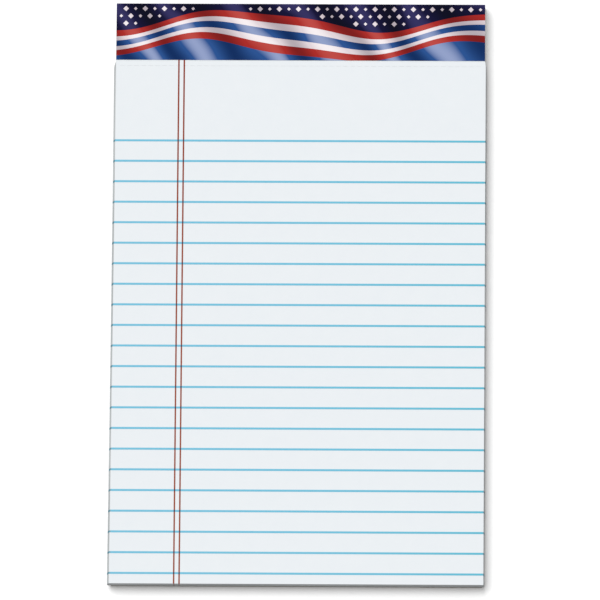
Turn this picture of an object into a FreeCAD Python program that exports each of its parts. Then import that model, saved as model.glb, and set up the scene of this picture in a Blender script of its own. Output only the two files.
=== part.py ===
"""A junior legal pad, 5 by 8 inches, lying face up: fifty ruled sheets on a stiff board,
held at the head by two wire staples and a printed strip that is folded round the head.

Millimetres. +X runs across the page to the right, +Y up the page to the head, +Z out of the page.
The origin is under the middle of the pad, on the surface that the pad lies on.
"""
import FreeCAD, Part
import math
import os
import Sketcher

# The driving sizes: name, millimetres or a plain count, what it is.
SIZES = (
    ("pad_width", 127.0, "5 in across the page"),
    ("pad_length", 203.2, "8 in from foot to head, over the strip's fold"),
    ("sheet_count", 50, "ruled sheets in the pad"),
    ("sheet_thickness", 0.088, "one sheet of 60 g/m2 writing paper"),
    ("board_thickness", 0.9, "stiff grey backing board"),
    ("strip_thickness", 0.15, "coated paper of the binding strip"),
    ("strip_front_height", 20.0, "front flap, from the head to its lower edge"),
    ("strip_back_height", 16.0, "back flap, from the head to its lower edge"),
    ("head_rounding", 0.4, "radius that the press leaves on the head's two long edges"),
    ("perforation_below_strip", 2.0, "from the front flap's lower edge to the tear line"),
    ("perforation_slit_length", 1.6, "cut part of the tear line"),
    ("perforation_tie", 0.8, "uncut part between two slits"),
    ("perforation_slit_width", 0.03, "what stays open of the blade's cut"),
    ("staple_crown", 12.7, "outer length of the wire across the front"),
    ("staple_spacing", 64.0, "between the two staples' middles"),
    ("staple_from_head", 9.0, "from the head to the wire's middle"),
    ("staple_wire_thickness", 0.5, "flat wire, the way that it is bent"),
    ("staple_wire_width", 0.7, "flat wire, along the page"),
    ("staple_clinch", 4.5, "leg turned in under the board"),
    ("staple_bend", 0.4, "outer radius of each bend in the wire"),
    ("staple_clearance", 0.02, "between the wire and the paper or board"),
    ("rule_width", 0.7, "one printed blue rule"),
    ("rule_pitch", 7.2, "from rule to rule, the trade's narrow ruling"),
    ("first_rule_from_head", 48.4, "from the head to the first rule's middle"),
    ("rule_foot_clear", 2.0, "least space between the last rule and the foot"),
    ("margin_from_left", 21.65, "from the left edge to the first margin line's middle"),
    ("margin_gap", 1.85, "between the two margin lines' middles"),
    ("margin_line_width", 0.5, "one printed red margin line"),
    ("ink_film", 0.04, "ink, drawn thicker than it is so that it stays a solid"),
    ("red_ribbon_height", 2.4, "each red ribbon printed on the strip"),
    ("white_ribbon_height", 1.8, "each white ribbon"),
    ("blue_ribbon_height", 2.4, "the blue ribbon between the white ones"),
    ("blue_field_height", 9.0, "the blue field under the ribbons, before the flap's edge trims it"),
    ("ribbons_above_edge", 3.3, "from the front flap's lower edge to the ribbons, on average"),
    ("wave_length", 96.0, "of the ribbons' long wave"),
    ("wave_height", 3.5, "middle to crest of the long wave"),
    ("wave_crest", -36.0, "across the page, where the lowest ribbon crests"),
    ("wave_drift", 2.4, "how far each ribbon's wave lies to the right of the one below"),
    ("ripple_length", 43.0, "of the short wave on top of the long one"),
    ("ripple_height", 0.8, "middle to crest of the short wave"),
    ("lozenge_reach", 0.95, "middle to corner of the larger printed lozenge"),
    ("small_lozenge_reach", 0.6, "middle to corner of the smaller one"),
    ("lozenge_pitch", 3.3, "between lozenges in a row"),
    ("lozenge_row_pitch", 2.6, "between rows of lozenges"),
    ("lozenge_clear", 0.4, "least space between a lozenge and a ribbon or the fold"),
)

# The strip's print from its lower edge up: the colour and the size that holds its height.
# Above the last one the strip's own dark ground is seen, with the lozenges on it.
RIBBONS = (
    ("blue", "blue_field_height"),
    ("red", "red_ribbon_height"),
    ("white", "white_ribbon_height"),
    ("blue", "blue_ribbon_height"),
    ("white", "white_ribbon_height"),
    ("red", "red_ribbon_height"),
)
WAVE_STEPS_PER_RIPPLE = 8
# Where the lozenges of even and odd rows start, as shares of the pitch between them.
ROW_STARTS = (0.75, 0.25)

# Places that several pieces share, as expressions on the sheet of sizes.
LEFT = "-Sizes.pad_width / 2"
FOOT = "-Sizes.pad_length / 2"
HEAD = "Sizes.pad_length / 2"
SHEET_HEAD = "(Sizes.pad_length / 2 - Sizes.strip_thickness)"
SHEET_LENGTH = "(Sizes.pad_length - Sizes.strip_thickness)"
FLAP_EDGE = "(Sizes.pad_length / 2 - Sizes.strip_front_height)"
BACK_FLAP_EDGE = "(Sizes.pad_length / 2 - Sizes.strip_back_height)"
BOARD_FOOT = "Sizes.strip_thickness"
BOARD_TOP = "(Sizes.strip_thickness + Sizes.board_thickness)"
STACK = "(Sizes.sheet_count * Sizes.sheet_thickness)"
SHEETS_TOP = f"({BOARD_TOP} + {STACK})"
STRIP_TOP = f"({SHEETS_TOP} + Sizes.strip_thickness)"
STAPLE_LINE = "(Sizes.pad_length / 2 - Sizes.staple_from_head)"
STAPLE_SIDES = (-1, 1)
MARGIN_LINES = (
    "(-Sizes.pad_width / 2 + Sizes.margin_from_left)",
    "(-Sizes.pad_width / 2 + Sizes.margin_from_left + Sizes.margin_gap)",
)
FIRST_RULE = "(Sizes.pad_length / 2 - Sizes.first_rule_from_head)"
RULE_COUNT = (
    "(floor((Sizes.pad_length - Sizes.first_rule_from_head - Sizes.rule_foot_clear)"
    " / Sizes.rule_pitch) + 1)"
)
SLIT_PITCH = "(Sizes.perforation_slit_length + Sizes.perforation_tie)"
SLIT_COUNT = f"floor((Sizes.pad_width - Sizes.perforation_tie) / {SLIT_PITCH})"
TEAR_LINE = f"({FLAP_EDGE} - Sizes.perforation_below_strip)"
TOLERANCE = 1e-6

doc = FreeCAD.newDocument("LegalPad")
sheet = doc.addObject("Spreadsheet::Sheet", "Sizes")
for row, (alias, value, meaning) in enumerate(SIZES, start=1):
    sheet.set(f"A{row}", alias)
    sheet.set(f"B{row}", str(value))
    sheet.set(f"C{row}", meaning)
    sheet.setAlias(f"B{row}", alias)
doc.recompute()


def size(alias):
    """A driving size, read back from the sheet."""
    return float(sheet.get(alias))


def place(expression):
    """The value in millimetres of one of the shared places above."""
    value = sheet.evalExpression(expression)
    return float(getattr(value, "Value", value))


def new_body(label):
    body = doc.addObject("PartDesign::Body", label)
    body.Label = label
    return body


def origin_feature(body, role):
    return next(item for item in body.Origin.OriginFeatures if item.Role == role)


def rectangles(body, name, plane, boxes, lift="0"):
    """A sketch of rectangles on one of the body's origin planes, raised by lift along its normal.
    Each box is (left, bottom, width, height), as expressions on the sheet of sizes."""
    sketch = body.newObject("Sketcher::SketchObject", name)
    sketch.AttachmentSupport = (origin_feature(body, plane), [""])
    sketch.MapMode = "FlatFace"
    sketch.setExpression("AttachmentOffset.Base.z", lift)
    for number, (left, bottom, width, height) in enumerate(boxes):
        x, y, w, h = (place(part) for part in (left, bottom, width, height))
        corners = [(x, y), (x + w, y), (x + w, y + h), (x, y + h)]
        points = [FreeCAD.Vector(cx, cy, 0) for cx, cy in corners]
        first = 4 * number
        for side in range(4):
            sketch.addGeometry(Part.LineSegment(points[side], points[(side + 1) % 4]), False)
        for side in range(4):
            following = first + (side + 1) % 4
            sketch.addConstraint(Sketcher.Constraint("Coincident", first + side, 2, following, 1))
        sketch.addConstraint(Sketcher.Constraint("Horizontal", first))
        sketch.addConstraint(Sketcher.Constraint("Vertical", first + 1))
        sketch.addConstraint(Sketcher.Constraint("Horizontal", first + 2))
        sketch.addConstraint(Sketcher.Constraint("Vertical", first + 3))
        dimensions = (
            ("left", ("DistanceX", -1, 1, first, 1, x), left),
            ("bottom", ("DistanceY", -1, 1, first, 1, y), bottom),
            ("width", ("DistanceX", first, 1, first, 2, w), width),
            ("height", ("DistanceY", first + 1, 1, first + 1, 2, h), height),
        )
        for word, constraint, expression in dimensions:
            index = sketch.addConstraint(Sketcher.Constraint(*constraint))
            sketch.renameConstraint(index, f"{word}{number}")
            sketch.setExpression(f"Constraints.{word}{number}", expression)
    return sketch


def pad(body, name, profile, length, symmetric=False):
    feature = body.newObject("PartDesign::Pad", name)
    feature.Profile = profile
    feature.SideType = "Symmetric" if symmetric else "One side"
    feature.setExpression("Length", length)
    return feature


def pocket(body, name, profile, depth=None, upward=False):
    """Cuts depth deep, downward unless told, or right through both ways when no depth is given."""
    feature = body.newObject("PartDesign::Pocket", name)
    feature.Profile = profile
    if depth is None:
        feature.SideType = "Symmetric"
        feature.Type = "ThroughAll"
    else:
        feature.Type = "Length"
        feature.setExpression("Length", depth)
        feature.Reversed = upward
    return feature


def row_of(body, name, feature, axis, pitch, count, backwards=False):
    """Repeats a feature count times along one of the body's axes."""
    pattern = body.newObject("PartDesign::LinearPattern", name)
    pattern.Originals = [feature]
    pattern.Direction = (origin_feature(body, axis), [""])
    pattern.Reversed = backwards
    pattern.Mode = "Spacing"
    pattern.setExpression("Offset", pitch)
    pattern.setExpression("Occurrences", count)
    body.Tip = pattern
    return pattern


def edges_at(shape, **where):
    """Names of the straight edges that lie wholly at the given places, such as y=10, z=2."""
    names = []
    for number, edge in enumerate(shape.Edges, start=1):
        ends = [vertex.Point for vertex in edge.Vertexes]
        gaps = [abs(getattr(end, axis) - at) for end in ends for axis, at in where.items()]
        if max(gaps) < TOLERANCE:
            names.append(f"Edge{number}")
    return names


def round_edges(body, name, base, radius, *lines):
    """Fillets the edges of base that lie at each of lines, such as {"y": 10, "z": 2}."""
    doc.recompute()
    fillet = body.newObject("PartDesign::Fillet", name)
    fillet.Base = (base, [edge for line in lines for edge in edges_at(base.Shape, **line)])
    fillet.setExpression("Radius", radius)
    return fillet


def leg_slots():
    """The openings that the four staple legs pass through, seen from above."""
    reach = "(Sizes.staple_crown / 2 + Sizes.staple_clearance)"
    across = "(Sizes.staple_wire_thickness + 2 * Sizes.staple_clearance)"
    slots = []
    for side in STAPLE_SIDES:
        middle = f"{side} * Sizes.staple_spacing / 2"
        slots.append((f"{middle} - {reach}", across))
        slots.append((f"{middle} + {reach} - {across}", across))
    return [slot_box(left, width) for left, width in slots]


def slot_box(left, width):
    """A box on the line of staples, as deep along the page as the wire and its clearance."""
    deep = "(Sizes.staple_wire_width + 2 * Sizes.staple_clearance)"
    return (left, f"{STAPLE_LINE} - {deep} / 2", width, deep)


def crown_grooves():
    """The openings that the staples' crowns are pressed into, seen from above."""
    long = "(Sizes.staple_crown + 2 * Sizes.staple_clearance)"
    lefts = [f"{side} * Sizes.staple_spacing / 2 - {long} / 2" for side in STAPLE_SIDES]
    return [slot_box(left, long) for left in lefts]


def clinch_grooves():
    """The openings that the legs' turned-in ends are pressed into, seen from above."""
    reach = "(Sizes.staple_crown / 2 + Sizes.staple_clearance)"
    long = "(Sizes.staple_clinch + 2 * Sizes.staple_clearance)"
    grooves = []
    for side in STAPLE_SIDES:
        middle = f"{side} * Sizes.staple_spacing / 2"
        grooves.append(slot_box(f"{middle} - {reach}", long))
        grooves.append(slot_box(f"{middle} + {reach} - {long}", long))
    return grooves


def sheet_block():
    """All fifty sheets as one block, slit along the tear line and pierced for the staples."""
    body = new_body("sheet_block")
    outline = rectangles(
        body, "SheetOutline", "XY_Plane", [(LEFT, FOOT, "Sizes.pad_width", SHEET_LENGTH)], BOARD_TOP
    )
    stack = pad(body, "Stack", outline, STACK)
    head = {"y": place(SHEET_HEAD), "z": place(SHEETS_TOP)}
    round_edges(body, "PressedHead", stack, "Sizes.head_rounding", head)
    grooves = rectangles(body, "CrownOutlines", "XY_Plane", crown_grooves(), SHEETS_TOP)
    pocket(body, "CrownGrooves", grooves, "Sizes.staple_wire_thickness + Sizes.staple_clearance")
    legs = rectangles(body, "LegOutlines", "XY_Plane", leg_slots(), BOARD_TOP)
    pocket(body, "LegSlots", legs)
    row_start = f"-((({SLIT_COUNT}) - 1) * {SLIT_PITCH} + Sizes.perforation_slit_length) / 2"
    slit = rectangles(
        body,
        "SlitOutline",
        "XY_Plane",
        [(
            row_start,
            f"{TEAR_LINE} - Sizes.perforation_slit_width / 2",
            "Sizes.perforation_slit_length",
            "Sizes.perforation_slit_width",
        )],
        BOARD_TOP,
    )
    first = pocket(body, "Slit", slit)
    row_of(body, "TearLine", first, "X_Axis", SLIT_PITCH, SLIT_COUNT)
    return body


def backing_board():
    """The stiff board, with the wire's legs through it and their ends pressed into its back."""
    body = new_body("backing_board")
    outline = rectangles(
        body, "BoardOutline", "XY_Plane", [(LEFT, FOOT, "Sizes.pad_width", SHEET_LENGTH)], BOARD_FOOT
    )
    plate = pad(body, "Plate", outline, "Sizes.board_thickness")
    head = {"y": place(SHEET_HEAD), "z": place(BOARD_FOOT)}
    round_edges(body, "PressedHead", plate, "Sizes.head_rounding", head)
    legs = rectangles(body, "LegOutlines", "XY_Plane", leg_slots(), BOARD_FOOT)
    pocket(body, "LegSlots", legs)
    grooves = rectangles(body, "ClinchOutlines", "XY_Plane", clinch_grooves(), BOARD_FOOT)
    depth = "Sizes.staple_wire_thickness + Sizes.staple_clearance"
    pocket(body, "ClinchGrooves", grooves, depth, upward=True)
    return body


def staples():
    """Two flat wires bent square round the stub, their legs turned in under the board."""
    body = new_body("staples")
    body.setExpression("Placement.Base.y", STAPLE_LINE)
    body.setExpression("Placement.Base.z", BOARD_FOOT)
    tall = f"(Sizes.board_thickness + {STACK})"
    wire = "Sizes.staple_wire_thickness"
    middles = [f"{side} * Sizes.staple_spacing / 2" for side in STAPLE_SIDES]

    def across(inset, bottom, height):
        """A box in each staple, inset from its two ends."""
        width = f"Sizes.staple_crown - 2 * {inset}"
        lefts = [f"{middle} - Sizes.staple_crown / 2 + {inset}" for middle in middles]
        return [(left, bottom, width, height) for left in lefts]

    loops = pad(
        body,
        "Loops",
        rectangles(body, "LoopOutlines", "XZ_Plane", across("0", "0", tall)),
        "Sizes.staple_wire_width",
        symmetric=True,
    )
    ends = [place(middle) + side * size("staple_crown") / 2 for middle in middles for side in (-1, 1)]
    bends = [{"x": x, "z": z} for x in ends for z in (0.0, place(tall))]
    round_edges(body, "Bends", loops, "Sizes.staple_bend", *bends)
    inside = across(wire, wire, f"{tall} - 2 * {wire}")
    pocket(body, "InsideOfBends", rectangles(body, "InsideOutlines", "XZ_Plane", inside))
    between = across("Sizes.staple_clinch", f"-{wire}", f"3 * {wire}")
    pocket(body, "BetweenLegs", rectangles(body, "BetweenLegsOutlines", "XZ_Plane", between))
    return body


def binding_strip():
    """Coated paper, folded round the head and glued to the first sheet and to the board's back."""
    body = new_body("binding_strip")
    outside = rectangles(
        body, "OutsideOutline", "YZ_Plane", [(FLAP_EDGE, "0", "Sizes.strip_front_height", STRIP_TOP)]
    )
    wrap = pad(body, "Wrap", outside, "Sizes.pad_width", symmetric=True)
    open_end = f"{FLAP_EDGE} - Sizes.strip_thickness"
    inside_box = (open_end, BOARD_FOOT, f"{SHEET_HEAD} - ({open_end})", f"{SHEETS_TOP} - {BOARD_FOOT}")
    inside = pocket(body, "Inside", rectangles(body, "InsideOutline", "YZ_Plane", [inside_box]))
    inner_lines = [{"y": place(SHEET_HEAD), "z": place(z)} for z in (BOARD_FOOT, SHEETS_TOP)]
    inner_fold = round_edges(body, "InsideFold", inside, "Sizes.head_rounding", *inner_lines)
    outer_radius = "Sizes.head_rounding + Sizes.strip_thickness"
    outer_lines = [{"y": place(HEAD), "z": z} for z in (0.0, place(STRIP_TOP))]
    round_edges(body, "OutsideFold", inner_fold, outer_radius, *outer_lines)
    short_back = (open_end, "-Sizes.strip_thickness", f"{BACK_FLAP_EDGE} - ({open_end})",
                  "3 * Sizes.strip_thickness")
    pocket(body, "BackFlapEdge", rectangles(body, "BackFlapOutline", "YZ_Plane", [short_back]))
    return body


def rules():
    """The blue rules. Each is left open where the two margin lines cross it."""
    body = new_body("blue_rules")
    bottom = f"{FIRST_RULE} - Sizes.rule_width / 2"
    half = "Sizes.margin_line_width / 2"
    first, second = MARGIN_LINES
    pieces = [
        (LEFT, f"{first} - {half}"),
        (f"{first} + {half}", f"{second} - {half}"),
        (f"{second} + {half}", "Sizes.pad_width / 2"),
    ]
    boxes = [(start, bottom, f"({end}) - ({start})", "Sizes.rule_width") for start, end in pieces]
    outline = rectangles(body, "RuleOutlines", "XY_Plane", boxes, SHEETS_TOP)
    rule = pad(body, "FirstRule", outline, "Sizes.ink_film")
    row_of(body, "Ruling", rule, "Y_Axis", "Sizes.rule_pitch", RULE_COUNT, backwards=True)
    return body


def margin_lines():
    """The two red margin lines, from the foot up to the strip's lower edge."""
    body = new_body("red_margin_lines")
    width = "Sizes.margin_line_width"
    height = f"{FLAP_EDGE} - ({FOOT})"
    boxes = [(f"{middle} - {width} / 2", FOOT, width, height) for middle in MARGIN_LINES]
    pad(body, "Lines", rectangles(body, "LineOutlines", "XY_Plane", boxes, SHEETS_TOP), "Sizes.ink_film")
    return body


def ribbon_line(level, x):
    """Height above the front flap's lower edge of the boundary under band number level."""
    bands_below = sum(size(height) for _, height in RIBBONS[:level])
    rise = size("ribbons_above_edge") - size("blue_field_height") + bands_below
    from_crest = x - size("wave_crest")
    long_wave = math.cos(2 * math.pi * (from_crest - level * size("wave_drift")) / size("wave_length"))
    ripple = math.cos(2 * math.pi * from_crest / size("ripple_length"))
    return rise + size("wave_height") * long_wave + size("ripple_height") * ripple


def ribbon_curve(level):
    """The same boundary as one smooth curve from the strip's left end to its right end."""
    width = size("pad_width")
    steps = math.ceil(width / size("ripple_length") * WAVE_STEPS_PER_RIPPLE)
    flap_edge = place(FLAP_EDGE)
    points = []
    for step in range(steps + 1):
        x = -width / 2 + width * step / steps
        points.append(FreeCAD.Vector(x, flap_edge + ribbon_line(level, x), place(STRIP_TOP)))
    curve = Part.BSplineCurve()
    curve.interpolate(points)
    return curve.toShape()


def printable_field():
    """The flat of the front flap, from its lower edge to where the fold begins."""
    fold = size("head_rounding") + size("strip_thickness")
    deep = size("strip_front_height") - fold
    corner = FreeCAD.Vector(-size("pad_width") / 2, place(FLAP_EDGE), place(STRIP_TOP))
    return Part.makeBox(size("pad_width"), deep, size("ink_film"), corner)


def ribbon(level):
    """One printed band between two boundaries, trimmed to the flap."""
    lower = ribbon_curve(level)
    upper = ribbon_curve(level + 1)
    ends = [Part.makeLine(lower.Vertexes[end].Point, upper.Vertexes[end].Point) for end in (0, -1)]
    outline = Part.Wire(Part.__sortEdges__([lower, ends[1], upper, ends[0]]))
    film = Part.Face(outline).extrude(FreeCAD.Vector(0, 0, size("ink_film")))
    return film.common(printable_field()).Solids


def lozenge(x, height, reach):
    """A printed square that stands on its corner, height above the flap's lower edge."""
    centre = FreeCAD.Vector(x, place(FLAP_EDGE) + height, place(STRIP_TOP))
    corners = [(reach, 0), (0, reach), (-reach, 0), (0, -reach), (reach, 0)]
    outline = Part.makePolygon([centre + FreeCAD.Vector(dx, dy, 0) for dx, dy in corners])
    return Part.Face(outline).extrude(FreeCAD.Vector(0, 0, size("ink_film")))


def lozenges():
    """Staggered rows above the ribbons, large and small in turn, wherever one has room."""
    pitch = size("lozenge_pitch")
    row_pitch = size("lozenge_row_pitch")
    fold = size("head_rounding") + size("strip_thickness")
    highest = size("strip_front_height") - fold - size("lozenge_clear") - size("lozenge_reach")
    columns = math.floor(size("pad_width") / 2 / pitch)
    rows = math.floor(highest / row_pitch)
    solids = []
    for row in range(rows):
        height = highest - row * row_pitch
        for column in range(-columns, columns):
            x = (column + ROW_STARTS[row % 2]) * pitch
            reach = size("lozenge_reach") if (column + row) % 2 else size("small_lozenge_reach")
            room = reach + size("lozenge_clear")
            ribbons_top = max(ribbon_line(len(RIBBONS), x + side * room) for side in (-1, 0, 1))
            if height - room >= ribbons_top:
                solids.append(lozenge(x, height, reach))
    return solids


def printed(label, solids):
    """Ink on the front flap, all of one colour."""
    feature = doc.addObject("Part::Feature", label)
    feature.Label = label
    feature.Shape = Part.makeCompound(solids)
    feature.Placement = FreeCAD.Placement()
    return feature


def strip_print():
    """The bands, one node for each colour, with the lozenges in the white ink."""
    fields = {colour: [] for colour, _ in RIBBONS}
    for level, (colour, _) in enumerate(RIBBONS):
        fields[colour] += ribbon(level)
    fields["white"] += lozenges()
    return [printed(f"print_{colour}", solids) for colour, solids in fields.items()]


nodes = [sheet_block(), backing_board(), staples(), binding_strip(), rules(), margin_lines()]
doc.recompute()
nodes += strip_print()
doc.recompute()

failed = [item.Name for item in doc.Objects if {"Invalid", "Error"} & set(item.State)]
if failed:
    raise RuntimeError(f"these objects failed to build: {failed}")
for node in nodes:
    if node.Shape.isNull() or not node.Shape.isValid() or not node.Shape.Solids:
        raise RuntimeError(f"{node.Label} has no valid solid")

os.makedirs("parts", exist_ok=True)
for node in nodes:
    node.Shape.exportStep(f"parts/{node.Label}.step")
    box = node.Shape.BoundBox
    print(
        f"{node.Label}: {len(node.Shape.Solids)} solids, {node.Shape.Volume:.2f} mm3, "
        f"x {box.XMin:.2f} {box.XMax:.2f}, y {box.YMin:.2f} {box.YMax:.2f}, z {box.ZMin:.3f} {box.ZMax:.3f}"
    )
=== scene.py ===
"""The looks of the legal pad: loose sheets in place of the solid block, paper, board, wire and
printing inks as materials, and the photo's camera over a white table.

Metres, in the part's frame: +X across the page, +Y up to the bound head, +Z out of the page.
"""
import math
import random

import bmesh
import bpy
from mathutils import Matrix, Vector


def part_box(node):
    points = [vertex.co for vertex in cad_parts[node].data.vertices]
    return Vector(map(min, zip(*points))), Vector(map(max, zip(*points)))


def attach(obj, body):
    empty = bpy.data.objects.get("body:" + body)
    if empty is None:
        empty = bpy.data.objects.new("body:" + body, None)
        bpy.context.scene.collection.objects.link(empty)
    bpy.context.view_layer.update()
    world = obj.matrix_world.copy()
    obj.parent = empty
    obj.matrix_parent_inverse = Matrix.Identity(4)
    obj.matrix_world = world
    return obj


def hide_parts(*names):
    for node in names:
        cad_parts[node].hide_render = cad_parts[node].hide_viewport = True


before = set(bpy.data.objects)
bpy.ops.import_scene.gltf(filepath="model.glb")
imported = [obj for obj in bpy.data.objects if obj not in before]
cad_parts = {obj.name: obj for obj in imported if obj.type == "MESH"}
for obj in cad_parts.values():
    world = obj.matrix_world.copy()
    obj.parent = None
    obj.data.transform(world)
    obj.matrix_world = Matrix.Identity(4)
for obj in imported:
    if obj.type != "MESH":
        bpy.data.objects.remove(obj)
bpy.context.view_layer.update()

MM = 0.001

# The stack of sheets, as in the solid block that the loose sheets stand for.
SHEET_COUNT = 50
SHEET_GAP = 0.004 * MM
GUILLOTINE_SLIP = 0.02 * MM
# The radius that the press leaves on the stack's head, under the strip's fold.
HEAD_ROUNDING = 0.4 * MM
# How far the stack's middle stands out beyond its top sheet, how far below the strip it is free to
# stand out in full, and how much of a sine wave it follows from the top sheet to the lowest.
LEFT_BULGE = 0.7 * MM
RIGHT_BULGE = 0.32 * MM
BULGE_CLEAR = 2.4 * MM
BULGE_TURN = math.radians(150)
# How far out of square the left side is cut at the foot, and how far past the rules' ends the right
# side is cut.
FOOT_FLARE = 0.5 * MM
RIGHT_MISS = 0.28 * MM
# The least distance that tells one surface from another.
HAIR = 0.01 * MM
# The tear line's slits, through the topmost sheets, and the wire with the room left for it.
SLIT_SHEETS = 6
SLIT_LENGTH = 1.6 * MM
SLIT_WIDTH = 0.03 * MM
SLIT_PITCH = 2.4 * MM
TEAR_LINE_BELOW_STRIP = 2.0 * MM
STAPLE_CLEARANCE = 0.02 * MM
STAPLE_WIRE = 0.5 * MM
STAPLE_CROWN = 12.7 * MM

# The ruling, for the places where the two inks cross and for the rules' ends on the stack's sides.
RULE_PITCH = 7.2 * MM
RULE_WIDTH = 0.7 * MM
MARGIN_LINE_WIDTH = 0.5 * MM

# The printed satin's folds: how far apart, how much they wander, and how they slant up the strip.
SATIN_PITCH = 21 * MM
SATIN_WANDER = 22 * MM
SATIN_SLANT = 0.8

# The camera that took the photo, found from the page's edges, its rules and its margin lines.
# It looks at the middle of the page from the foot's side, far away through a long lens.
CAMERA_DISTANCE = 4.0
CAMERA_TILT = math.radians(-11.754)
CAMERA_SWING = math.radians(-1.076)
CAMERA_ROLL = math.radians(-0.466)
CAMERA_OFF_CENTRE = Vector((0.472, -2.579)) * MM
PIXELS_PER_METRE = 2917.0
PICTURE_WIDTH = 600

# One soft key lamp from the head's left side, and an even pale room.
KEY_ELEVATION = math.radians(61)
KEY_AZIMUTH = math.radians(130)
KEY_SOFTNESS = math.radians(48)
KEY_SHARE = 0.58
# How much brighter the table is to the camera than its light alone makes it.
TABLE_GAIN = 1.22
FLOOR_SIZE = 8.0

page_low, page_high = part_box("sheet_block")
strip_low, strip_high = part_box("binding_strip")
rules_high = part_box("blue_rules")[1]
wire_low, wire_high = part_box("staples")
lines_low, lines_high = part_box("red_margin_lines")


def ink(hex_code):
    """An sRGB colour such as "#EDF1F4", as the linear colour that a shader takes."""
    channels = [int(hex_code[start:start + 2], 16) / 255 for start in (1, 3, 5)]
    linear = [c / 12.92 if c <= 0.04045 else ((c + 0.055) / 1.055) ** 2.4 for c in channels]
    return (*linear, 1.0)


def add(tree, kind, sockets=None, **settings):
    """Adds a node, sets its settings, and fills its sockets with values or other nodes' outputs."""
    node = tree.nodes.new(kind)
    for name, value in settings.items():
        setattr(node, name, value)
    for socket, value in (sockets or {}).items():
        if isinstance(value, bpy.types.NodeSocket):
            tree.links.new(value, node.inputs[socket])
        else:
            node.inputs[socket].default_value = value
    return node


def new_material(name):
    """An empty material with its node tree and the output that the finish is linked to."""
    material = bpy.data.materials.new(name)
    material.use_nodes = True
    material.node_tree.nodes.clear()
    return material, material.node_tree, material.node_tree.nodes.new("ShaderNodeOutputMaterial")


def dress(name, material):
    """Gives a part of the frame its finish."""
    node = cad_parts[name]
    node.data.materials.clear()
    node.data.materials.append(material)


def beyond_top_sheet(tree, place):
    """1 where the stack stands out beyond its top sheet, else 0: on the left, and on the right."""
    axes = add(tree, "ShaderNodeSeparateXYZ", {0: place})
    down = add(
        tree,
        "ShaderNodeMapRange",
        {"Value": axes.outputs["Y"], "From Min": strip_low.y, "From Max": page_low.y},
    )
    squared = add(tree, "ShaderNodeMath", {0: down.outputs["Result"], 1: 2.0}, operation="POWER")
    flare = add(tree, "ShaderNodeMath", {0: squared.outputs[0], 1: FOOT_FLARE}, operation="MULTIPLY")
    left_edge = add(
        tree, "ShaderNodeMath", {0: page_low.x - HAIR, 1: flare.outputs[0]}, operation="SUBTRACT"
    )
    left = add(
        tree, "ShaderNodeMath", {0: axes.outputs["X"], 1: left_edge.outputs[0]}, operation="LESS_THAN"
    )
    right_edge = page_high.x + RIGHT_MISS + HAIR
    right = add(tree, "ShaderNodeMath", {0: axes.outputs["X"], 1: right_edge}, operation="GREATER_THAN")
    return left.outputs[0], right.outputs[0]


def over_rules(tree, place):
    """1 at the height of a rule, anywhere across the page, else 0."""
    axes = add(tree, "ShaderNodeSeparateXYZ", {0: place})
    first_rule = rules_high.y - RULE_WIDTH / 2
    rules_down = add(tree, "ShaderNodeMath", {0: first_rule, 1: axes.outputs["Y"]}, operation="SUBTRACT")
    steps = add(tree, "ShaderNodeMath", {0: rules_down.outputs[0], 1: RULE_PITCH}, operation="PINGPONG")
    # Ping-pong over a whole pitch peaks midway between even rules, so both of its ends are rules.
    beyond = add(tree, "ShaderNodeMath", {0: RULE_PITCH, 1: steps.outputs[0]}, operation="SUBTRACT")
    near = add(tree, "ShaderNodeMath", {0: steps.outputs[0], 1: beyond.outputs[0]}, operation="MINIMUM")
    on_rule = add(tree, "ShaderNodeMath", {0: near.outputs[0], 1: RULE_WIDTH / 2}, operation="LESS_THAN")
    below_first = add(
        tree, "ShaderNodeMath", {0: rules_down.outputs[0], 1: -RULE_WIDTH / 2}, operation="GREATER_THAN"
    )
    return add(
        tree, "ShaderNodeMath", {0: on_rule.outputs[0], 1: below_first.outputs[0]}, operation="MULTIPLY"
    ).outputs[0]


def over_margin_lines(tree, place):
    """1 across the page where a margin line lies, at any height, else 0."""
    axes = add(tree, "ShaderNodeSeparateXYZ", {0: place})
    middle = (lines_low.x + lines_high.x) / 2
    to_line = (lines_high.x - lines_low.x - MARGIN_LINE_WIDTH) / 2
    from_middle = add(tree, "ShaderNodeMath", {0: axes.outputs["X"], 1: middle}, operation="SUBTRACT")
    either_way = add(tree, "ShaderNodeMath", {0: from_middle.outputs[0]}, operation="ABSOLUTE")
    return add(
        tree,
        "ShaderNodeMath",
        {0: either_way.outputs[0], 1: to_line, 2: MARGIN_LINE_WIDTH / 2},
        operation="COMPARE",
    ).outputs[0]


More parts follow.
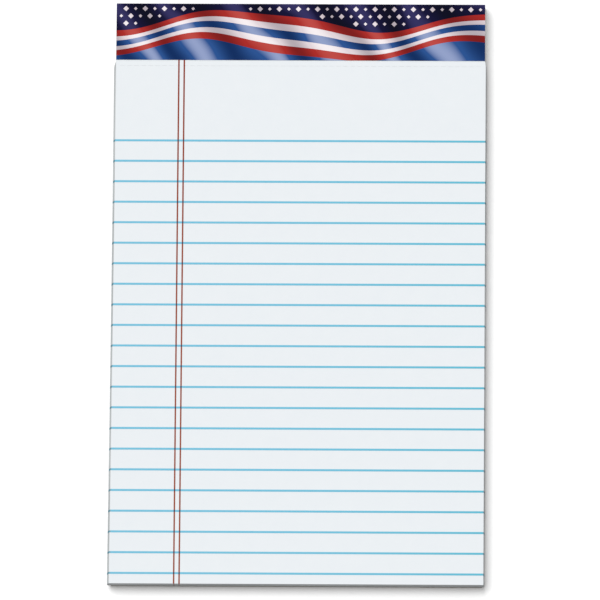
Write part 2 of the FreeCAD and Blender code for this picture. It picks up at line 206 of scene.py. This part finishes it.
def ticks(tree, place, streaks, on_edge):
    """How strongly the ink of the sheets' own ruling shows, from 0 to 1: the blue, and the red.

    The page's lines are pieces laid on it, so the paper is inked only past their ends: evenly on the
    ledges beside the page, and unevenly on the cut edges, by their streaks."""
    soaked = add(
        tree,
        "ShaderNodeMapRange",
        {"Value": streaks, "From Min": 0.36, "From Max": 0.6, "To Min": 0.35, "To Max": 1.0},
    )
    edge_ink = add(
        tree, "ShaderNodeMath", {0: soaked.outputs["Result"], 1: on_edge}, operation="MULTIPLY"
    )
    axes = add(tree, "ShaderNodeSeparateXYZ", {0: place})
    sideways = add(tree, "ShaderNodeMath", {0: axes.outputs["X"]}, operation="ABSOLUTE")
    beside_page = add(
        tree, "ShaderNodeMath", {0: sideways.outputs[0], 1: rules_high.x}, operation="GREATER_THAN"
    )
    ledge_ink = add(
        tree, "ShaderNodeMath", {0: beside_page.outputs[0], 1: on_edge}, operation="SUBTRACT"
    )
    side_ink = add(
        tree, "ShaderNodeMath", {0: edge_ink.outputs[0], 1: ledge_ink.outputs[0]}, operation="MAXIMUM"
    )
    blue = add(
        tree, "ShaderNodeMath", {0: over_rules(tree, place), 1: side_ink.outputs[0]}, operation="MULTIPLY"
    )
    red = add(
        tree,
        "ShaderNodeMath",
        {0: over_margin_lines(tree, place), 1: edge_ink.outputs[0]},
        operation="MULTIPLY",
    )
    return blue.outputs[0], red.outputs[0]


def writing_paper():
    """Uncoated bond paper, calendered: matte and even, a cool white, with a faint mottle where
    the fibres lie thicker. On the guillotined sides, and on the ledges beside the top sheet, the
    colour is painted greyer: painted shade for the light lost between the sheets. Single sheets
    show there as fine streaks. Each sheet's ruling runs off its edges, so the sides carry a blue
    tick at every rule, and the foot two faint red ones."""
    material, tree, output = new_material("uncoated_bond_paper")
    place = add(tree, "ShaderNodeTexCoord").outputs["Object"]
    mottle = add(
        tree,
        "ShaderNodeTexNoise",
        {"Vector": place, "Scale": 1 / (5 * MM), "Detail": 3.0, "Roughness": 0.6},
    )
    fibres = add(
        tree,
        "ShaderNodeTexNoise",
        {"Vector": place, "Scale": 1 / (0.35 * MM), "Detail": 4.0, "Roughness": 0.7},
    )
    face = add(
        tree,
        "ShaderNodeMix",
        {0: mottle.outputs["Fac"], 6: ink("#EAEFF3"), 7: ink("#EEF2F5")},
        data_type="RGBA",
    )
    stretched = add(
        tree,
        "ShaderNodeMapping",
        {"Vector": place, "Scale": (1 / (45 * MM), 1 / (45 * MM), 1 / (0.3 * MM))},
    )
    streaks = add(
        tree, "ShaderNodeTexNoise", {"Vector": stretched.outputs["Vector"], "Scale": 1.0, "Detail": 2.0}
    )
    layered = add(
        tree, "ShaderNodeMapRange", {"Value": streaks.outputs["Fac"], "From Min": 0.32, "From Max": 0.66}
    )
    # Painted shade: the cut edges get a greyer colour than the face, standing in for the light lost
    # between the sheets; the streaks in it are the single sheets.
    edge = add(
        tree,
        "ShaderNodeMix",
        {0: layered.outputs["Result"], 6: ink("#ABAFB0"), 7: ink("#E9EBEB")},
        data_type="RGBA",
    )
    # Painted shade: the ledges beside the top sheet get a darker grey than the face, standing in for the
    # light lost between the sheets; the streaks in it are the single sheets.
    ledge_shade_grey = add(
        tree,
        "ShaderNodeMix",
        {0: layered.outputs["Result"], 6: ink("#A4A8AA"), 7: ink("#CCCFD0")},
        data_type="RGBA",
    )
    normal = add(tree, "ShaderNodeSeparateXYZ", {0: add(tree, "ShaderNodeNewGeometry").outputs["Normal"]})
    upright = add(tree, "ShaderNodeMath", {0: normal.outputs["Z"]}, operation="ABSOLUTE")
    on_edge = add(tree, "ShaderNodeMath", {0: upright.outputs[0], 1: 0.5}, operation="LESS_THAN")
    # Painted shade on both ledges: the left ledge takes the ledge's darker grey, the right ledge the cut
    # edges' grey.
    left_ledge_painted_shade, right_ledge_painted_shade = beyond_top_sheet(tree, place)
    flat = add(
        tree,
        "ShaderNodeMix",
        {0: left_ledge_painted_shade, 6: face.outputs[2], 7: ledge_shade_grey.outputs[2]},
        data_type="RGBA",
    )
    # The cut edges and the right ledge take the painted-shade grey of the edges.
    cut = add(tree, "ShaderNodeMath", {0: on_edge.outputs[0], 1: right_ledge_painted_shade}, operation="MAXIMUM")
    bare = add(
        tree,
        "ShaderNodeMix",
        {0: cut.outputs[0], 6: flat.outputs[2], 7: edge.outputs[2]},
        data_type="RGBA",
    )
    blue_ticks, red_ticks = ticks(tree, place, streaks.outputs["Fac"], on_edge.outputs[0])
    ruled = add(
        tree,
        "ShaderNodeMix",
        {0: blue_ticks, 6: bare.outputs[2], 7: ink("#8CC0D0")},
        data_type="RGBA",
        blend_type="MULTIPLY",
    )
    colour = add(
        tree,
        "ShaderNodeMix",
        {0: red_ticks, 6: ruled.outputs[2], 7: ink("#CFA59E")},
        data_type="RGBA",
        blend_type="MULTIPLY",
    )
    tooth = add(
        tree,
        "ShaderNodeBump",
        {"Height": fibres.outputs["Fac"], "Strength": 0.25, "Distance": 0.02 * MM},
    )
    finish = add(
        tree,
        "ShaderNodeBsdfPrincipled",
        {
            "Base Color": colour.outputs[2],
            "Normal": tooth.outputs["Normal"],
            "Roughness": 0.9,
            "Specular IOR Level": 0.15,
        },
    )
    tree.links.new(finish.outputs[0], output.inputs["Surface"])
    return material


def chipboard():
    """Grey chipboard from waste paper, pressed: dull, warm grey, flecked with darker and lighter
    fibres, and with its plies showing as lines along the cut edge."""
    material, tree, output = new_material("grey_chipboard")
    place = add(tree, "ShaderNodeTexCoord").outputs["Object"]
    pulp = add(
        tree,
        "ShaderNodeTexNoise",
        {"Vector": place, "Scale": 1 / (2.5 * MM), "Detail": 6.0, "Roughness": 0.75},
    )
    body = add(
        tree,
        "ShaderNodeMix",
        {0: pulp.outputs["Fac"], 6: ink("#7C756B"), 7: ink("#A29B8F")},
        data_type="RGBA",
    )
    long_way = add(tree, "ShaderNodeMapping", {"Vector": place, "Scale": (1.0, 0.25, 1.0)})
    fleck = add(
        tree,
        "ShaderNodeTexNoise",
        {"Vector": long_way.outputs["Vector"], "Scale": 1 / (0.6 * MM), "Detail": 2.0, "Roughness": 0.5},
    )
    dark = add(
        tree,
        "ShaderNodeMapRange",
        {"Value": fleck.outputs["Fac"], "From Min": 0.66, "From Max": 0.7, "To Min": 0.0, "To Max": 0.7},
    )
    flecked = add(
        tree,
        "ShaderNodeMix",
        {0: dark.outputs["Result"], 6: body.outputs[2], 7: ink("#4A443F")},
        data_type="RGBA",
    )
    pale = add(
        tree,
        "ShaderNodeMapRange",
        {"Value": fleck.outputs["Fac"], "From Min": 0.34, "From Max": 0.3, "To Min": 0.0, "To Max": 0.6},
    )
    colour = add(
        tree,
        "ShaderNodeMix",
        {0: pale.outputs["Result"], 6: flecked.outputs[2], 7: ink("#C9C3B6")},
        data_type="RGBA",
    )
    plies = add(
        tree,
        "ShaderNodeMapping",
        {"Vector": place, "Scale": (1 / (30 * MM), 1 / (30 * MM), 1 / (0.15 * MM))},
    )
    layers = add(
        tree, "ShaderNodeTexNoise", {"Vector": plies.outputs["Vector"], "Scale": 1.0, "Detail": 2.0}
    )
    relief = add(
        tree,
        "ShaderNodeMath",
        {0: pulp.outputs["Fac"], 1: layers.outputs["Fac"]},
        operation="ADD",
    )
    rough = add(
        tree, "ShaderNodeBump", {"Height": relief.outputs[0], "Strength": 0.5, "Distance": 0.06 * MM}
    )
    finish = add(
        tree,
        "ShaderNodeBsdfPrincipled",
        {
            "Base Color": colour.outputs[2],
            "Normal": rough.outputs["Normal"],
            "Roughness": 0.92,
            "Specular IOR Level": 0.12,
        },
    )
    tree.links.new(finish.outputs[0], output.inputs["Surface"])
    return material


def stitching_wire():
    """Galvanised steel stitching wire, drawn flat: a soft grey metal with fine marks along it."""
    material, tree, output = new_material("galvanised_stitching_wire")
    place = add(tree, "ShaderNodeTexCoord").outputs["Object"]
    drawn = add(
        tree,
        "ShaderNodeMapping",
        {"Vector": place, "Scale": (1 / (4 * MM), 1 / (0.05 * MM), 1 / (0.05 * MM))},
    )
    marks = add(
        tree, "ShaderNodeTexNoise", {"Vector": drawn.outputs["Vector"], "Scale": 1.0, "Detail": 3.0}
    )
    colour = add(
        tree,
        "ShaderNodeMix",
        {0: marks.outputs["Fac"], 6: ink("#9A9DA1"), 7: ink("#C4C7CA")},
        data_type="RGBA",
    )
    rough = add(
        tree,
        "ShaderNodeMapRange",
        {"Value": marks.outputs["Fac"], "To Min": 0.28, "To Max": 0.45},
    )
    finish = add(
        tree,
        "ShaderNodeBsdfPrincipled",
        {"Base Color": colour.outputs[2], "Metallic": 1.0, "Roughness": rough.outputs["Result"]},
    )
    tree.links.new(finish.outputs[0], output.inputs["Surface"])
    return material


def satin_print(name, shade, body, sheen, core=None):
    """Offset ink on coated paper, drawn as satin ribbon: the colour falls into soft folds that run
    on from ribbon to ribbon, darker in the hollows and paler on the crowns. The coating is nearly
    matte. Where core is set, the paper's white shows on its cut edges."""
    material, tree, output = new_material(name)
    place = add(tree, "ShaderNodeTexCoord").outputs["Object"]
    axes = add(tree, "ShaderNodeSeparateXYZ", {0: place})
    lean = add(tree, "ShaderNodeMath", {0: axes.outputs["Y"], 1: SATIN_SLANT}, operation="MULTIPLY")
    along = add(tree, "ShaderNodeMath", {0: axes.outputs["X"], 1: lean.outputs[0]}, operation="ADD")
    wander = add(tree, "ShaderNodeTexNoise", {"Vector": place, "Scale": 1 / (28 * MM), "Detail": 1.0})
    pushed = add(
        tree,
        "ShaderNodeMath",
        {0: wander.outputs["Fac"], 1: SATIN_WANDER, 2: along.outputs[0]},
        operation="MULTIPLY_ADD",
    )
    turns_per_metre = 2 * math.pi / SATIN_PITCH
    turn = add(tree, "ShaderNodeMath", {0: pushed.outputs[0], 1: turns_per_metre}, operation="MULTIPLY")
    fold = add(tree, "ShaderNodeMath", {0: turn.outputs[0]}, operation="SINE")
    hollow = add(tree, "ShaderNodeMapRange", {"Value": fold.outputs[0], "From Min": 0.1, "From Max": -1.0})
    crown = add(tree, "ShaderNodeMapRange", {"Value": fold.outputs[0], "From Min": 0.3, "From Max": 1.0})
    shaded = add(
        tree,
        "ShaderNodeMix",
        {0: hollow.outputs["Result"], 6: ink(body), 7: ink(shade)},
        data_type="RGBA",
    )
    colour = add(
        tree,
        "ShaderNodeMix",
        {0: crown.outputs["Result"], 6: shaded.outputs[2], 7: ink(sheen)},
        data_type="RGBA",
    ).outputs[2]
    if core:
        sideways = add(tree, "ShaderNodeMath", {0: axes.outputs["X"]}, operation="ABSOLUTE")
        at_end = add(
            tree,
            "ShaderNodeMath",
            {0: sideways.outputs[0], 1: strip_high.x - HAIR},
            operation="GREATER_THAN",
        )
        at_flap = add(
            tree, "ShaderNodeMath", {0: axes.outputs["Y"], 1: strip_low.y + HAIR}, operation="LESS_THAN"
        )
        cut = add(
            tree, "ShaderNodeMath", {0: at_end.outputs[0], 1: at_flap.outputs[0]}, operation="MAXIMUM"
        )
        colour = add(
            tree, "ShaderNodeMix", {0: cut.outputs[0], 6: colour, 7: ink(core)}, data_type="RGBA"
        ).outputs[2]
    tooth = add(tree, "ShaderNodeTexNoise", {"Vector": place, "Scale": 1 / (0.5 * MM), "Detail": 3.0})
    skin = add(
        tree, "ShaderNodeBump", {"Height": tooth.outputs["Fac"], "Strength": 0.15, "Distance": 0.01 * MM}
    )
    finish = add(
        tree,
        "ShaderNodeBsdfPrincipled",
        {
            "Base Color": colour,
            "Normal": skin.outputs["Normal"],
            "Roughness": 0.5,
            "Specular IOR Level": 0.03,
        },
    )
    tree.links.new(finish.outputs[0], output.inputs["Surface"])
    return material


def ruling_ink(name, thin, full, towards, strong, crossing=None):
    """Water-based ruling ink, laid on by pen discs and soaked into the paper: matte, a little
    uneven along the line, and growing to its strong colour towards the page's right ("X") or its
    head ("Y"). Where crossing is set, the ink is darker under each rule."""
    material, tree, output = new_material(name)
    place = add(tree, "ShaderNodeTexCoord").outputs["Object"]
    soak = add(
        tree,
        "ShaderNodeTexNoise",
        {"Vector": place, "Scale": 1 / (1.2 * MM), "Detail": 4.0, "Roughness": 0.65},
    )
    even = add(
        tree,
        "ShaderNodeMix",
        {0: soak.outputs["Fac"], 6: ink(thin), 7: ink(full)},
        data_type="RGBA",
    )
    start, end = {"X": (page_low.x, page_high.x), "Y": (page_low.y, strip_low.y)}[towards]
    axes = add(tree, "ShaderNodeSeparateXYZ", {0: place})
    way = add(
        tree, "ShaderNodeMapRange", {"Value": axes.outputs[towards], "From Min": start, "From Max": end}
    )
    # A cube, because the ink hardly grows before the last third of the way.
    late = add(tree, "ShaderNodeMath", {0: way.outputs["Result"], 1: 3.0}, operation="POWER")
    colour = add(
        tree, "ShaderNodeMix", {0: late.outputs[0], 6: even.outputs[2], 7: ink(strong)}, data_type="RGBA"
    ).outputs[2]
    if crossing:
        colour = add(
            tree,
            "ShaderNodeMix",
            {0: over_rules(tree, place), 6: colour, 7: ink(crossing)},
            data_type="RGBA",
        ).outputs[2]
    finish = add(
        tree,
        "ShaderNodeBsdfPrincipled",
        {"Base Color": colour, "Roughness": 0.9, "Specular IOR Level": 0.15},
    )
    tree.links.new(finish.outputs[0], output.inputs["Surface"])
    return material


def seen_directly(tree):
    """1 for what the camera sees, also by reflection or through something clear, else 0."""
    path = add(tree, "ShaderNodeLightPath")
    direct = add(
        tree,
        "ShaderNodeMath",
        {0: path.outputs["Is Camera Ray"], 1: path.outputs["Is Glossy Ray"]},
        operation="MAXIMUM",
    )
    return add(
        tree,
        "ShaderNodeMath",
        {0: direct.outputs[0], 1: path.outputs["Is Transmission Ray"]},
        operation="MAXIMUM",
    ).outputs[0]


def white_table():
    """A white table that is matte and keeps the pad's shadow. To the camera it is a little brighter
    than its light makes it, and it throws little light back on the pad, as in a dark studio."""
    material, tree, output = new_material("white_table")
    white = (TABLE_GAIN, TABLE_GAIN, TABLE_GAIN, 1.0)
    colour = add(
        tree, "ShaderNodeMix", {0: seen_directly(tree), 6: ink("#959595"), 7: white}, data_type="RGBA"
    )
    matte = add(tree, "ShaderNodeBsdfDiffuse", {"Color": colour.outputs[2]})
    tree.links.new(matte.outputs[0], output.inputs["Surface"])
    return material


def cut_lines(mesh, axis, places):
    """Cuts a flat sheet along lines across one axis, for openings or for bends in its sides."""
    for place in places:
        point = Vector((0.0, 0.0, 0.0))
        point[axis] = place
        normal = Vector((0.0, 0.0, 0.0))
        normal[axis] = 1.0
        geometry = mesh.verts[:] + mesh.edges[:] + mesh.faces[:]
        bmesh.ops.bisect_plane(mesh, geom=geometry, plane_co=point, plane_no=normal, dist=1e-8)


def take_out(mesh, openings):
    """Cuts rectangular openings (left, right, bottom, top) out of a flat sheet."""
    cut_lines(mesh, 0, sorted({side for opening in openings for side in opening[:2]}))
    cut_lines(mesh, 1, sorted({side for opening in openings for side in opening[2:]}))
    inside = []
    for face in mesh.faces:
        middle = face.calc_center_median()
        if any(
            left < middle.x < right and bottom < middle.y < top
            for left, right, bottom, top in openings
        ):
            inside.append(face)
    bmesh.ops.delete(mesh, geom=inside, context="FACES")


def staple_openings(crown):
    """Openings in a sheet for the wire: the whole crown where it is pressed in, else its legs."""
    reach_low = wire_low.y - STAPLE_CLEARANCE
    reach_high = wire_high.y + STAPLE_CLEARANCE
    leg = STAPLE_WIRE + 2 * STAPLE_CLEARANCE
    openings = []
    for outer, inward in ((wire_low.x, 1), (wire_high.x, -1)):
        inner = outer + inward * STAPLE_CROWN
        ends = sorted((outer - inward * STAPLE_CLEARANCE, inner + inward * STAPLE_CLEARANCE))
        if crown:
            openings.append((ends[0], ends[1], reach_low, reach_high))
        else:
            openings.append((ends[0], ends[0] + leg, reach_low, reach_high))
            openings.append((ends[1] - leg, ends[1], reach_low, reach_high))
    return openings


def tear_slits():
    """Openings of the tear line, evenly spaced about the middle of the page."""
    width = page_high.x - page_low.x
    count = math.floor((width - (SLIT_PITCH - SLIT_LENGTH)) / SLIT_PITCH)
    first = -((count - 1) * SLIT_PITCH + SLIT_LENGTH) / 2
    line = strip_low.y - TEAR_LINE_BELOW_STRIP
    slits = []
    for number in range(count):
        left = first + number * SLIT_PITCH
        slits.append((left, left + SLIT_LENGTH, line - SLIT_WIDTH / 2, line + SLIT_WIDTH / 2))
    return slits


def spread(place, depth):
    """Moves a point of a sheet's outline sideways: depth is 0 for the top sheet, 1 for the lowest."""
    below_strip = min(max((strip_low.y - place.y) / BULGE_CLEAR, 0.0), 1.0)
    freed = math.sin(below_strip * math.pi / 2)
    bulge = freed * math.sin(depth * BULGE_TURN)
    if place.x > 0:
        return RIGHT_MISS * freed + RIGHT_BULGE * bulge
    towards_foot = min(max((strip_low.y - place.y) / (strip_low.y - page_low.y), 0.0), 1.0)
    return -LEFT_BULGE * bulge - FOOT_FLARE * towards_foot ** 2


def head_setback(depth):
    """How far a sheet at this depth stands back at the head, where the press rounded the stack."""
    above_side = max(HEAD_ROUNDING - depth, 0.0)
    return HEAD_ROUNDING - math.sqrt(HEAD_ROUNDING ** 2 - above_side ** 2)


def one_sheet(number, slip):
    """A single sheet as a thin slab. Number 0 is the lowest."""
    pitch = (page_high.z - page_low.z) / SHEET_COUNT
    from_top = SHEET_COUNT - 1 - number
    crown_depth = STAPLE_WIRE + STAPLE_CLEARANCE
    openings = staple_openings(crown=from_top * pitch < crown_depth)
    if from_top < SLIT_SHEETS:
        openings += tear_slits()
    mesh = bmesh.new()
    middle = (page_low + page_high) / 2
    size = page_high - page_low
    bmesh.ops.create_grid(mesh, x_segments=1, y_segments=1, size=0.5)
    bmesh.ops.scale(mesh, verts=mesh.verts, vec=(size.x, size.y, 1.0))
    bmesh.ops.translate(mesh, verts=mesh.verts, vec=(middle.x, middle.y, page_high.z - from_top * pitch))
    take_out(mesh, openings)
    # The sides can bend at these lines, which are close together just below the strip.
    below_strip = strip_low.y - page_low.y
    thirds = [strip_low.y - BULGE_CLEAR * part / 3 for part in (0, 1, 2, 3)]
    quarters = [page_low.y + below_strip * part / 4 for part in (1, 2, 3)]
    cut_lines(mesh, 1, thirds + quarters)
    walls = bmesh.ops.extrude_face_region(mesh, geom=mesh.faces[:])
    lower = [item for item in walls["geom"] if isinstance(item, bmesh.types.BMVert)]
    bmesh.ops.translate(mesh, verts=lower, vec=(0.0, 0.0, -(pitch - SHEET_GAP)))
    for vertex in mesh.verts:
        if abs(vertex.co.x) > page_high.x - HAIR:
            vertex.co.x += spread(vertex.co, from_top / (SHEET_COUNT - 1))
        if vertex.co.y > page_high.y - HAIR:
            vertex.co.y -= head_setback(from_top * pitch) + GUILLOTINE_SLIP
    bmesh.ops.translate(mesh, verts=mesh.verts, vec=slip)
    bmesh.ops.recalc_face_normals(mesh, faces=mesh.faces)
    return mesh


def paper_piece(name, sheets, paper):
    """Sheets joined as one piece of the scene, in the solid block's place."""
    whole = bmesh.new()
    for sheet in sheets:
        single = bpy.data.meshes.new("sheet")
        sheet.to_mesh(single)
        sheet.free()
        whole.from_mesh(single)
        bpy.data.meshes.remove(single)
    joined = bpy.data.meshes.new(name)
    whole.to_mesh(joined)
    whole.free()
    joined.materials.append(paper)
    piece = bpy.data.objects.new(name, joined)
    bpy.context.scene.collection.objects.link(piece)
    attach(piece, "root")
    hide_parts("sheet_block")


def loose_sheets():
    """The whole stack. Each sheet lies a hair off its neighbours, as it left the guillotine. The top
    sheet is a piece of its own, so that its face has a map of its own in the export."""
    chance = random.Random(5)
    sheets = []
    for number in range(SHEET_COUNT):
        slip = Vector((chance.uniform(-1, 1), chance.uniform(0, 1), 0.0)) * GUILLOTINE_SLIP
        if number == SHEET_COUNT - 1:
            slip = Vector((0.0, 0.0, 0.0))
        sheets.append(one_sheet(number, slip))
    paper = writing_paper()
    paper_piece("sheets", sheets[:-1], paper)
    paper_piece("top_sheet", sheets[-1:], paper)


def table_top():
    mesh = bmesh.new()
    bmesh.ops.create_grid(mesh, x_segments=1, y_segments=1, size=FLOOR_SIZE / 2)
    data = bpy.data.meshes.new("table_top")
    mesh.to_mesh(data)
    mesh.free()
    data.materials.append(white_table())
    top = bpy.data.objects.new("table_top", data)
    bpy.context.scene.collection.objects.link(top)


def pale_room():
    """An even room, white to the camera. The pad gets from it what the key lamp leaves of its light."""
    world = bpy.data.worlds.new("pale_room")
    world.use_nodes = True
    bpy.context.scene.world = world
    tree = world.node_tree
    tree.nodes.clear()
    seen = seen_directly(tree)
    strength = add(
        tree, "ShaderNodeMapRange", {"Value": seen, "To Min": 1 - KEY_SHARE, "To Max": 1.0}
    )
    room = add(
        tree, "ShaderNodeBackground", {"Color": ink("#FFFFFF"), "Strength": strength.outputs["Result"]}
    )
    output = add(tree, "ShaderNodeOutputWorld")
    tree.links.new(room.outputs[0], output.inputs["Surface"])


def key_lamp():
    """A large soft lamp over the head's left corner. Flat paper gets KEY_SHARE of its light from it."""
    lamp = bpy.data.lights.new("key_lamp", "SUN")
    lamp.angle = KEY_SOFTNESS
    lamp.energy = KEY_SHARE * math.pi / math.sin(KEY_ELEVATION)
    holder = bpy.data.objects.new("key_lamp", lamp)
    towards = Vector((
        math.cos(KEY_AZIMUTH) * math.cos(KEY_ELEVATION),
        math.sin(KEY_AZIMUTH) * math.cos(KEY_ELEVATION),
        math.sin(KEY_ELEVATION),
    ))
    holder.rotation_euler = towards.to_track_quat("Z", "Y").to_euler()
    bpy.context.scene.collection.objects.link(holder)


def photo_camera():
    data = bpy.data.cameras.new("photo_camera")
    data.sensor_width = 36.0
    data.lens = PIXELS_PER_METRE * CAMERA_DISTANCE * data.sensor_width / PICTURE_WIDTH
    camera = bpy.data.objects.new("photo_camera", data)
    bpy.context.scene.collection.objects.link(camera)
    turn = (
        Matrix.Rotation(CAMERA_ROLL, 3, "Z")
        @ Matrix.Rotation(CAMERA_TILT, 3, "X")
        @ Matrix.Rotation(CAMERA_SWING, 3, "Y")
    ).transposed()
    seat = turn @ Vector((CAMERA_OFF_CENTRE.x, CAMERA_OFF_CENTRE.y, CAMERA_DISTANCE))
    page_middle = Vector((0.0, 0.0, page_high.z))
    camera.matrix_world = Matrix.Translation(page_middle + seat) @ turn.to_4x4()
    bpy.context.scene.camera = camera


bpy.context.scene.view_settings.view_transform = "Standard"
table_top()
pale_room()
key_lamp()
photo_camera()

loose_sheets()
dress("backing_board", chipboard())
dress("staples", stitching_wire())
dress("binding_strip", satin_print("strip_ground", "#05051A", "#100E32", "#33305E", core="#E9E7E2"))
dress("blue_rules", ruling_ink("light_blue_ruling_ink", "#82C8E0", "#72C0DC", "X", "#66BED5"))
dress("red_margin_lines", ruling_ink("red_ruling_ink", "#A15842", "#91442E", "Y", "#8D3116", "#554454"))
dress("print_blue", satin_print("strip_blue", "#0C2C5E", "#2A5290", "#93A1C8"))
dress("print_red", satin_print("strip_red", "#7C1A1A", "#A82A26", "#BE4A44"))
dress("print_white", satin_print("strip_white", "#B4A9B0", "#E2D5DA", "#F8F0F3"))

bpy.context.view_layer.update()
